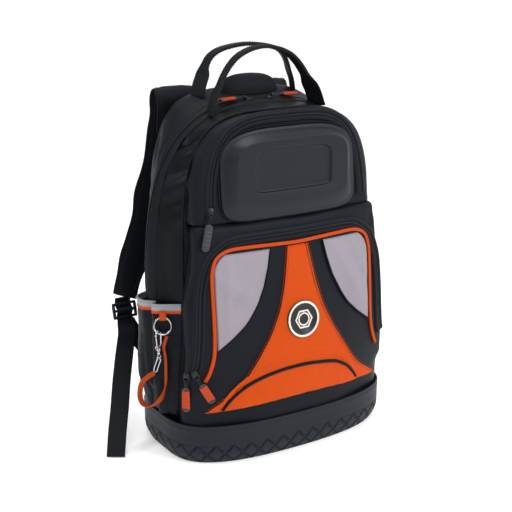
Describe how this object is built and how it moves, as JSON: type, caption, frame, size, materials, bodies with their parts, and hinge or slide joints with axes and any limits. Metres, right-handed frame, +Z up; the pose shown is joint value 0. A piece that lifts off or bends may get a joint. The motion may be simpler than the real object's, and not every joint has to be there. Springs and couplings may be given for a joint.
{
  "type": "tool backpack",
  "caption": "Upright tool backpack on a moulded boot, with a hard shell pocket, zipped front pocket, side tool pockets, two top handles, padded shoulder straps and a tool lanyard.",
  "frame": {"origin": "centre of the boot's flat underside", "axes": "+Z up, -Y out of the bag's front face, +X towards the bag's right side as seen from the front"},
  "size_m": [0.442, 0.2848, 0.553],
  "materials": {
    "boot_rubber": "moulded, matt, with a cut tread near the floor",
    "body_fabric": "coated heavy weave",
    "pad_fabric": "padded mesh cloth",
    "webbing": "ribbed webbing",
    "zip_tape": "woven tape with coil teeth",
    "shell_plastic": "satin moulded",
    "orange_fabric": "coated weave",
    "grey_fabric": "coated weave",
    "band_fabric": "elastic band",
    "badge_rubber": "moulded with a cream ring",
    "buckle_plastic": "moulded",
    "steel": "plated wire",
    "dark_metal": "black plated die casting",
    "orange_grip": "moulded grip",
    "grey_grip": "moulded grip"
  },
  "bodies": {
    "bag": {"boot": "boot_rubber", "main_compartment_rear": "body_fabric", "main_compartment_front": "body_fabric", "upper_pocket": "body_fabric", "lower_pocket": "body_fabric", "side_pocket_front_left": "body_fabric", "pocket_band_front_left": "band_fabric", "side_pocket_front_right": "body_fabric", "pocket_band_front_right": "band_fabric", "side_pocket_rear_left": "body_fabric", "pocket_band_rear_left": "band_fabric", "side_pocket_rear_right": "body_fabric", "pocket_band_rear_right": "band_fabric", "back_panel": "pad_fabric", "top_pad": "pad_fabric", "shoulder_strap_left": "pad_fabric", "shoulder_strap_right": "pad_fabric", "front_handle": "webbing", "rear_handle": "webbing", "anchor_webbing_left": "webbing", "anchor_webbing_right": "webbing", "webbing_tail_left": "webbing", "webbing_tail_right": "webbing", "main_zip": "zip_tape", "upper_zip": "zip_tape", "lower_zip": "zip_tape", "hard_shell": "shell_plastic", "orange_panel": "orange_fabric", "arch_pocket": "orange_fabric", "piping": "orange_fabric", "lanyard_tab": "orange_fabric", "lanyard": "orange_fabric", "grey_panel_left": "grey_fabric", "grey_panel_right": "grey_fabric", "badge": "badge_rubber", "adjuster_left": "buckle_plastic", "adjuster_right": "buckle_plastic", "lanyard_ring": "steel", "snap_hook": "steel", "hook_swivel": "steel", "lanyard_link": "steel", "main_left_slider": "dark_metal", "main_right_slider": "dark_metal", "upper_slider": "dark_metal", "lower_inner_slider": "dark_metal", "lower_outer_slider": "dark_metal"},
    "main_left_pull": {"main_left_pull": "orange_grip"},
    "main_right_pull": {"main_right_pull": "orange_grip"},
    "upper_pull": {"upper_pull": "grey_grip"},
    "lower_inner_pull": {"lower_inner_pull": "orange_grip"},
    "lower_outer_pull": {"lower_outer_pull": "orange_grip"},
    "hook_gate": {"hook_gate": "steel"}
  },
  "joints": [
    {"name": "main_left_pull_hinge", "type": "hinge", "parent": "bag", "child": "main_left_pull", "pos_m": [-0.02525, 0.008, 0.48348], "axis": [0, 1, 0], "range_deg": [0, 110]},
    {"name": "main_right_pull_hinge", "type": "hinge", "parent": "bag", "child": "main_right_pull", "pos_m": [0.02017, 0.008, 0.48367], "axis": [0, -1, 0], "range_deg": [0, 110]},
    {"name": "upper_pull_hinge", "type": "hinge", "parent": "bag", "child": "upper_pull", "pos_m": [-0.12565, -0.07182, 0.34469], "axis": [-0.9444, 0.2288, 0.2361], "range_deg": [0, 110]},
    {"name": "lower_inner_pull_hinge", "type": "hinge", "parent": "bag", "child": "lower_inner_pull", "pos_m": [-0.15575, -0.08462, 0.13017], "axis": [-0.8044, 0.3227, -0.4988], "range_deg": [0, 110]},
    {"name": "lower_outer_pull_hinge", "type": "hinge", "parent": "bag", "child": "lower_outer_pull", "pos_m": [-0.16731, -0.07153, 0.12493], "axis": [-0.6283, 0.7779, 0], "range_deg": [0, 110]},
    {"name": "hook_gate_hinge", "type": "hinge", "parent": "bag", "child": "hook_gate", "pos_m": [-0.18611, -0.02794, 0.16407], "axis": [-0.391, 0.9204, 0], "range_deg": [0, 22]}
  ]
}
